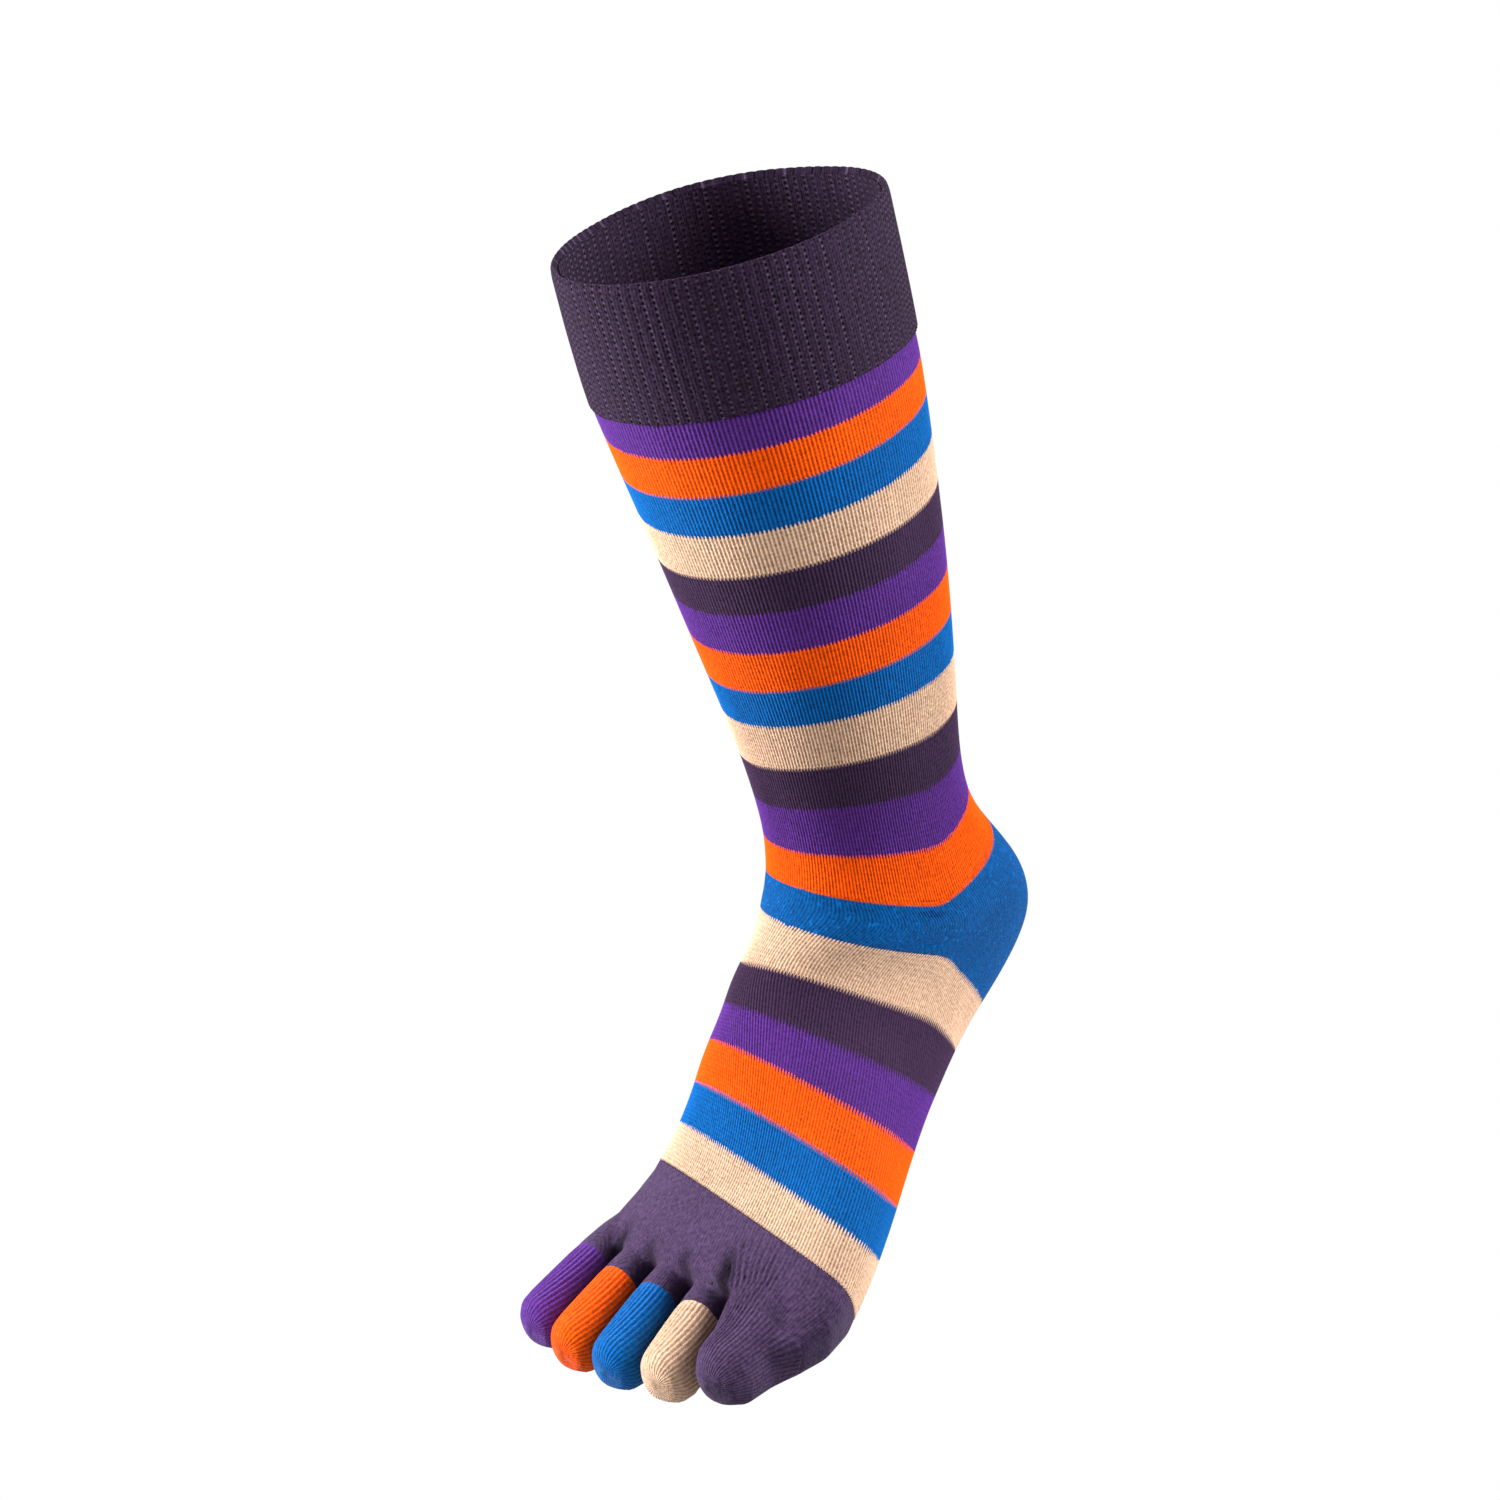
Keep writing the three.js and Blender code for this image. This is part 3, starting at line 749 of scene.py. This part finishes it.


# Knitted cotton. Painted shade darkens its grooves and leaves its ridges lighter, colours change along
# the stripes in a row of small teeth, one a wale, and a haze of loose fibres makes it matt and a little
# mottled.
def jersey(name, colours, look):
    material, tree, shader = newMaterial(name)

    def maths(operation, *values, clamp=False):
        node = addNode(tree, "Math", {"operation": operation, "use_clamp": clamp})
        for socket, value in zip(node.inputs, values):
            if isinstance(value, (int, float)):
                socket.default_value = value
            else:
                tree.links.new(value, socket)
        return node.outputs[0]

    knit = addNode(tree, "UVMap", {"uv_map": "Knit"})
    parts = addNode(tree, "SeparateXYZ", _0=knit.outputs["UV"])
    u, v = parts.outputs["X"], parts.outputs["Y"]
    point = addNode(tree, "TexCoord").outputs["Object"]
    fuzz = addNode(tree, "TexNoise", {"Scale": look["fuzzScale"], "Detail": 3.0}, Vector=point).outputs["Fac"]
    cloud = addNode(tree, "TexNoise", {"Scale": look["cloudScale"], "Detail": 3.0}, Vector=point).outputs["Fac"]

    ridge = maths("MULTIPLY_ADD", maths("COSINE", maths("MULTIPLY", u, 2 * math.pi * look["finer"])), 0.5, 0.5)
    rough = maths("MULTIPLY", maths("SUBTRACT", fuzz, 0.5), look["ragged"])
    reached = maths("ADD", v, maths("MULTIPLY_ADD", maths("SUBTRACT", ridge, 0.5), look["tooth"], rough))
    ramp = addNode(tree, "ValToRGB", _0=maths("DIVIDE", maths("SUBTRACT", reached, look["first"]),
                                             len(colours)))
    ramp.color_ramp.interpolation = "CONSTANT"
    points = ramp.color_ramp.elements
    if len(colours) == 1:
        points.remove(points[1])
    while len(points) < len(colours):
        points.new(1)
    for i, colour in enumerate(colours):
        points[i].position = i / len(colours)
        points[i].color = linearColour(yarn[colour])

    turn = maths("MULTIPLY_ADD", v, look["courses"] * 2 * math.pi, maths("MULTIPLY", ridge, look["slant"]))
    course = maths("SINE", turn)
    depth = maths("MULTIPLY_ADD", ridge, look["ridge"], maths("MULTIPLY", course, look["stitch"]))
    depth = maths("MULTIPLY_ADD", fuzz, look["fuzz"], depth)
    # shade scales the base colour: painted shade from the ridges and stitches, random mottling from the fuzz
    # and the cloud
    shade = maths("MULTIPLY_ADD", depth, look["contrast"], look["floor"])
    shade = maths("MULTIPLY", shade, maths("MULTIPLY_ADD", cloud, look["cloud"], 1 - look["cloud"] / 2))
    eyelets = look["eyelets"]
    if eyelets:  # columns of small holes darkened with painted shade, each with a painted highlight on the loop above it, some columns fainter
        column = maths("ABSOLUTE", maths("SINE", maths("MULTIPLY", u, math.pi)))
        column = maths("POWER", column, eyelets["narrow"])
        fresh = addNode(tree, "TexWhiteNoise", {"noise_dimensions": "1D"}, W=maths("FLOOR", u)).outputs["Value"]
        column = maths("MULTIPLY", column, maths("MULTIPLY_ADD", fresh, eyelets["varied"], eyelets["faintest"]))
        beat = maths("SINE", maths("MULTIPLY_ADD", v, eyelets["rows"] * 2 * math.pi,
                                   maths("MULTIPLY", fresh, eyelets["offset"])))
        hole = maths("MULTIPLY", column, maths("MULTIPLY", beat, eyelets["crisp"], clamp=True))
        loop = maths("MULTIPLY", column, maths("MULTIPLY", beat, -eyelets["crisp"], clamp=True))
        shade = maths("MULTIPLY", shade, maths("MULTIPLY_ADD", hole, -eyelets["dark"], 1))
        shade = maths("MULTIPLY_ADD", loop, eyelets["lit"], shade)
        depth = maths("MULTIPLY_ADD", hole, -eyelets["deep"], depth)
    gore = look["gore"]
    if gore:  # light slanted stitches along the line where the heel's two halves meet, and specks of lint
        line = addNode(tree, "Mapping", {"Location": gore["start"] * mm, "Rotation": gore["turned"],
                                         "vector_type": "TEXTURE"}, Vector=point)
        axes = addNode(tree, "SeparateXYZ", _0=line.outputs[0])
        along = maths("DIVIDE", axes.outputs["Y"], gore["length"] * mm)
        near = maths("LESS_THAN", maths("ABSOLUTE", axes.outputs["Z"]), gore["width"] * mm)
        within = maths("MULTIPLY", maths("GREATER_THAN", along, 0), maths("LESS_THAN", along, 1))
        dash = maths("GREATER_THAN", maths("SINE", maths("MULTIPLY", along, gore["stitches"] * 2 * math.pi)),
                     gore["dash"])
        lint = addNode(tree, "TexNoise", {"Scale": gore["lintScale"], "Detail": 0.0}, Vector=point)
        lint = lint.outputs["Fac"]
        seam = maths("MULTIPLY", maths("MULTIPLY", maths("MULTIPLY", near, within), dash),
                     maths("GREATER_THAN", lint, gore["seamLint"]))
        speck = maths("ADD", seam, maths("GREATER_THAN", lint, gore["looseLint"]))
        shade = maths("MULTIPLY_ADD", speck, gore["lit"], shade)
        depth = maths("ADD", depth, speck)
    # painted shade: the colour is darkened in the creases between the toes
    if look["crease"]:
        crease = addNode(tree, "Attribute", {"attribute_name": "crease"}).outputs["Fac"]
        shade = maths("MULTIPLY", shade, maths("MULTIPLY_ADD", crease, -look["crease"], 1))
    surfaceColour = ramp.outputs["Color"]
    if eyelets:  # the painted highlights on the loops are turned grey
        loopHighlightGrey = maths("MULTIPLY", loop, eyelets["loopHighlightGrey"])
        surfaceColour = addNode(tree, "VectorMath", {"operation": "ADD"}, _0=surfaceColour, _1=loopHighlightGrey).outputs[0]
    scaled = addNode(tree, "VectorMath", {"operation": "SCALE"}, _0=surfaceColour, Scale=shade)
    tree.links.new(scaled.outputs[0], shader.inputs["Base Color"])
    bump = addNode(tree, "Bump", {"Strength": look["bump"], "Distance": look["relief"] * mm}, Height=depth)
    tree.links.new(bump.outputs["Normal"], shader.inputs["Normal"])
    white = look["hazeWhite"]
    if len(colours) == 1:
        haze = [part * (1 - white) + white for part in linearColour(yarn[colours[0]])]
        shader.inputs["Sheen Tint"].default_value = haze
    else:
        haze = addNode(tree, "VectorMath", {"operation": "MULTIPLY_ADD", 1: (1 - white,) * 3, 2: (white,) * 3},
                       _0=ramp.outputs["Color"])
        tree.links.new(haze.outputs[0], shader.inputs["Sheen Tint"])
    shader.inputs["Roughness"].default_value = 0.95
    shader.inputs["Specular IOR Level"].default_value = 0.1
    shader.inputs["Sheen Weight"].default_value = look["sheen"]
    shader.inputs["Sheen Roughness"].default_value = 0.5
    return material


# Lengths along the run are shares of a stripe. tooth and ragged: the stripe edge's teeth and their
# unevenness. first: the stripe number that the colours start at. finer: ridges in one wale. ridge and
# stitch: how much each paints shade into the colour and raises the knit, fuzz: how much it mottles and
# raises it. floor and contrast: the darkest painted shade and the range above it. relief in millimetres.
# crease: how dark the painted shade in the creases between the toes gets.
plainLook = {"tooth": 0.09, "ragged": 0.08, "first": -1, "courses": 11, "slant": 2.2, "finer": 1, "ridge": 0.85,
             "stitch": 0.1, "fuzz": 1.4, "fuzzScale": 900.0, "cloud": 0.35, "cloudScale": 45.0,
             "contrast": 0.95, "floor": 0.04, "bump": 0.8, "relief": 0.35, "sheen": 0.45, "hazeWhite": 0.15,
             "eyelets": None, "gore": None, "crease": 0}
goreStart, goreEnd = Vector((0, -14, 61)), Vector((0, 19, 40))
goreRun = goreEnd - goreStart
heelGore = {"start": goreStart, "turned": (math.atan2(goreRun.z, goreRun.y), 0, 0), "length": goreRun.length,
            "width": 0.45, "stitches": 14, "dash": 0.35, "lintScale": 620.0, "seamLint": 0.44,
            "looseLint": 0.73, "lit": 0.6}
# The cuff's eyelets: "dark" is the painted shade in the holes, "lit" the painted highlight on the loops, and
# the last key how far that highlight is turned grey.
cuffEyelets = {"rows": 24, "narrow": 14, "varied": 0.8, "faintest": 0.35, "offset": 6, "crisp": 1.6,
               "dark": 0.95, "lit": 1.0, "deep": 1.6, "loopHighlightGrey": 0.028}
legJersey = jersey("cotton jersey, striped leg", bodyColours, plainLook)
heelJersey = jersey("cotton jersey, heel", bodyColours,
                    plainLook | {"tooth": 0.03, "ragged": 0.03, "stitch": 0.0, "ridge": 0.35, "gore": heelGore})
footJersey = jersey("cotton jersey, striped foot", bodyColours, plainLook | {"tooth": 0.11, "ragged": 0.06})
cuffRib = jersey("cotton rib, cuff", ["plum"],
                 plainLook | {"first": 0, "courses": 40, "slant": 0, "finer": 3, "ridge": 0.3, "fuzz": 2.0,
                              "floor": -0.45, "eyelets": cuffEyelets})
foreLook = {"first": 0, "ridge": 0.3, "stitch": 0.0, "fuzz": 1.9, "floor": -0.15, "bump": 0.5, "crease": 0.86}
foreJersey = jersey("cotton jersey, forefoot", ["heather"], plainLook | foreLook)
toeYarn = {"plum": "heather"}  # the forefoot's and the big toe's plum is a little lighter
toeColours = {"big_toe": "plum", "second_toe": "beige", "third_toe": "blue", "fourth_toe": "orange",
              "little_toe": "purple"}
# The four small toes get a higher floor: their colour is painted lighter, a painted highlight for the light
# that falls on their tops.
toeLook = {"first": 0, "ridge": 0.6, "stitch": 0.0, "fuzz": 1.6, "floor": 0.15, "sheen": 0.8, "crease": 0.86}
toeJersey = {name: jersey("cotton jersey, " + name.replace("_", " "), [toeYarn.get(colour, colour)],
                          plainLook | (foreLook | {"ridge": 0.6, "bump": 0.9} if colour == "plum" else toeLook))
             for name, colour in toeColours.items()}

dressed = [
    (cuff, "cuff", "plum_rib", cuffRib), (leg, "leg", "leg_stripes", legJersey),
    (heel, "heel", "heel_blue", heelJersey), (foot, "foot", "foot_stripes", footJersey),
    (forefoot, "forefoot", "forefoot_plum", foreJersey),
    *[(toes[name], name, f"{name}_{colour}", toeJersey[name]) for name, colour in toeColours.items()],
]
for piece, node, slotName, material in dressed:
    piece.data.materials.clear()
    piece.data.materials.append(material)
    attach(piece, "root")
    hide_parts(node)
discard(body)
print("pieces dressed:", len(dressed))


# Floor, light and camera

studio = {"floorSize": 12, "floorHeight": -1.8 * mm, "ambient": 0.4, "litPoint": (0, -0.04, 0.12)}
deselectAll()
bpy.ops.mesh.primitive_plane_add(size=studio["floorSize"], location=(0, 0, studio["floorHeight"]))
floor = bpy.context.object
floor.name = "studio_floor"
bpy.ops.object.transform_apply(location=True, rotation=True, scale=True)
paper, _tree, paperShader = newMaterial("matt studio paper")
paperShader.inputs["Base Color"].default_value = (0, 0, 0, 1)
paperShader.inputs["Specular IOR Level"].default_value = 0
paperShader.inputs["Emission Color"].default_value = (1, 1, 1, 1)
paperShader.inputs["Emission Strength"].default_value = 1
floor.data.materials.append(paper)
floor.visible_diffuse = False  # only seen, so that the lamps alone model the knit
floor.visible_glossy = False

world = bpy.data.worlds.new("studio")
scene.world = world
world.use_nodes = True
world.node_tree.nodes["Background"].inputs["Color"].default_value = (1, 1, 1, 1)
world.node_tree.nodes["Background"].inputs["Strength"].default_value = studio["ambient"]

lights = {
    "key": {"place": (-0.68, -0.5, 0.5), "size": 0.5, "power": 15},
    "rim": {"place": (1.2, 0.7, 0.65), "size": 0.8, "power": 26},
}
for name, light in lights.items():
    deselectAll()
    bpy.ops.object.light_add(type="AREA", location=light["place"])
    lamp = bpy.context.object
    lamp.name = name
    lamp.data.size = light["size"]
    lamp.data.energy = light["power"]
    lamp.rotation_euler = (Vector(studio["litPoint"]) - lamp.location).to_track_quat("-Z", "Y").to_euler()

lens = {"target": (-37.3, 2.84, 110.51), "distance": 1400, "turn": 38.08, "height": 25.74, "roll": -16.05,
        "focal": 110.09, "sensor": 36, "nearest": 10}
turn, height, roll = (math.radians(lens[key]) for key in ("turn", "height", "roll"))
back = Vector((math.sin(turn) * math.cos(height), -math.cos(turn) * math.cos(height), math.sin(height)))
right = Vector((math.cos(turn), math.sin(turn), 0))
up = back.cross(right)
right, up = (math.cos(roll) * right + math.sin(roll) * up, math.cos(roll) * up - math.sin(roll) * right)
deselectAll()
bpy.ops.object.camera_add()
camera = bpy.context.object
camera.matrix_world = Matrix.Translation((Vector(lens["target"]) + back * lens["distance"]) * mm) @ Matrix(
    (right, up, back)).transposed().to_4x4()
camera.data.lens = lens["focal"]
camera.data.sensor_width = lens["sensor"]
camera.data.clip_start = lens["nearest"] * mm
scene.camera = camera
scene.view_settings.view_transform = "Standard"
